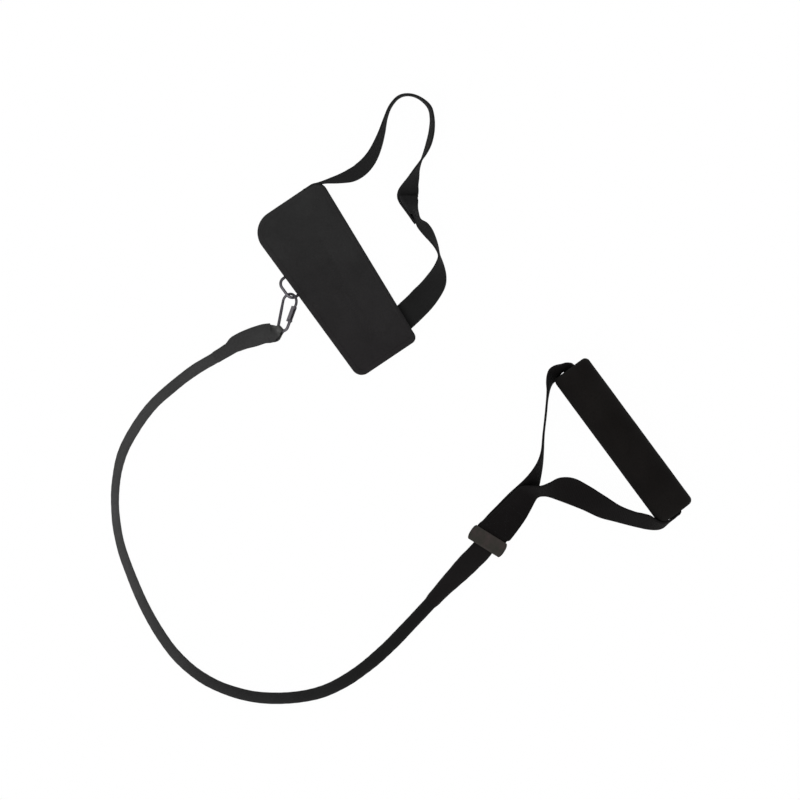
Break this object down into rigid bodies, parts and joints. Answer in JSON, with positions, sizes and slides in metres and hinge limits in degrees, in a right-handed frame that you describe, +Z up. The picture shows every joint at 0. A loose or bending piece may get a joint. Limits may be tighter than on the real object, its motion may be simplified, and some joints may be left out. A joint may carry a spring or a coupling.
{
  "type": "ankle resistance cord",
  "caption": "Padded ankle cuff with a hook-and-loop strap, joined by a ring and snap link to a fabric-sheathed elastic cord with a webbing handle and foam grip, laid out flat.",
  "frame": {"origin": "middle of the cuff's lining, on the surface that the part lies on", "axes": "+Z up from that surface, +X to the right and +Y away as the part is laid out, seen from above"},
  "size_m": [0.4356, 0.457, 0.031],
  "materials": {
    "black_weave": "woven webbing, matt",
    "cuff_cloth": "fine woven cover, matt",
    "lining_cloth": "brushed lining, matt",
    "pad_foam": "soft foam",
    "hook_plastic": "hook tape, matt",
    "loop_pile": "loop tape, soft pile",
    "dark_steel": "dark nickel, satin",
    "spring_steel": "satin",
    "sheath_weave": "woven nylon sheath, matt",
    "latex": "natural latex, satin",
    "ferrule_metal": "satin",
    "collar_rubber": "moulded, satin",
    "grip_rubber": "foam, matt",
    "tube_plastic": "matt"
  },
  "bodies": {
    "cuff": {"cuff_lining": "lining_cloth", "cuff_foam_pad": "pad_foam", "cuff_cover": "cuff_cloth", "cuff_edge_binding": "cuff_cloth", "ring_tab": "black_weave", "strap_upper": "black_weave", "strap_lower": "black_weave", "hook_patch": "hook_plastic", "loop_patch": "loop_pile"},
    "ring": {"d_ring": "dark_steel"},
    "link": {"link_body": "dark_steel", "gate_pin": "dark_steel"},
    "gate": {"link_gate": "dark_steel", "gate_spring": "spring_steel"},
    "cord": {"cuff_end_loop": "black_weave", "cuff_end_sleeve": "sheath_weave", "cord_sheath": "sheath_weave", "cord_core": "latex", "cuff_end_ferrule": "ferrule_metal", "handle_end_ferrule": "ferrule_metal", "handle_end_sleeve": "sheath_weave", "collar": "collar_rubber", "handle_webbing": "black_weave"},
    "grip": {"grip_foam": "grip_rubber", "grip_core_tube": "tube_plastic"}
  },
  "joints": [
    {"name": "ring_swing", "type": "hinge", "parent": "cuff", "child": "ring", "pos_m": [-0.03161, -0.00365, 0.0046], "axis": [0.5845, -0.8114, 0], "range_deg": [-15, 20]},
    {"name": "link_swing", "type": "hinge", "parent": "ring", "child": "link", "pos_m": [-0.0335, -0.01344, 0.00666], "axis": [0.9651, -0.1763, -0.1937], "range_deg": [-25, 25]},
    {"name": "gate_open", "type": "hinge", "parent": "link", "child": "gate", "pos_m": [-0.03449, -0.03088, 0.00926], "axis": [-0.5999, 0.1407, 0.7876], "range_deg": [0, 18], "stiffness_Nm_per_rad": 0.02, "springref_deg": -5.73},
    {"name": "cord_swing", "type": "hinge", "parent": "link", "child": "cord", "pos_m": [-0.04292, -0.036, 0.00375], "axis": [0.2802, -0.8852, 0.3715], "range_deg": [-20, 20]},
    {"name": "grip_spin", "type": "hinge", "parent": "cord", "child": "grip", "pos_m": [0.21509, -0.1208, 0.0155], "axis": [0.594, -0.8045, 0], "continuous": true}
  ]
}
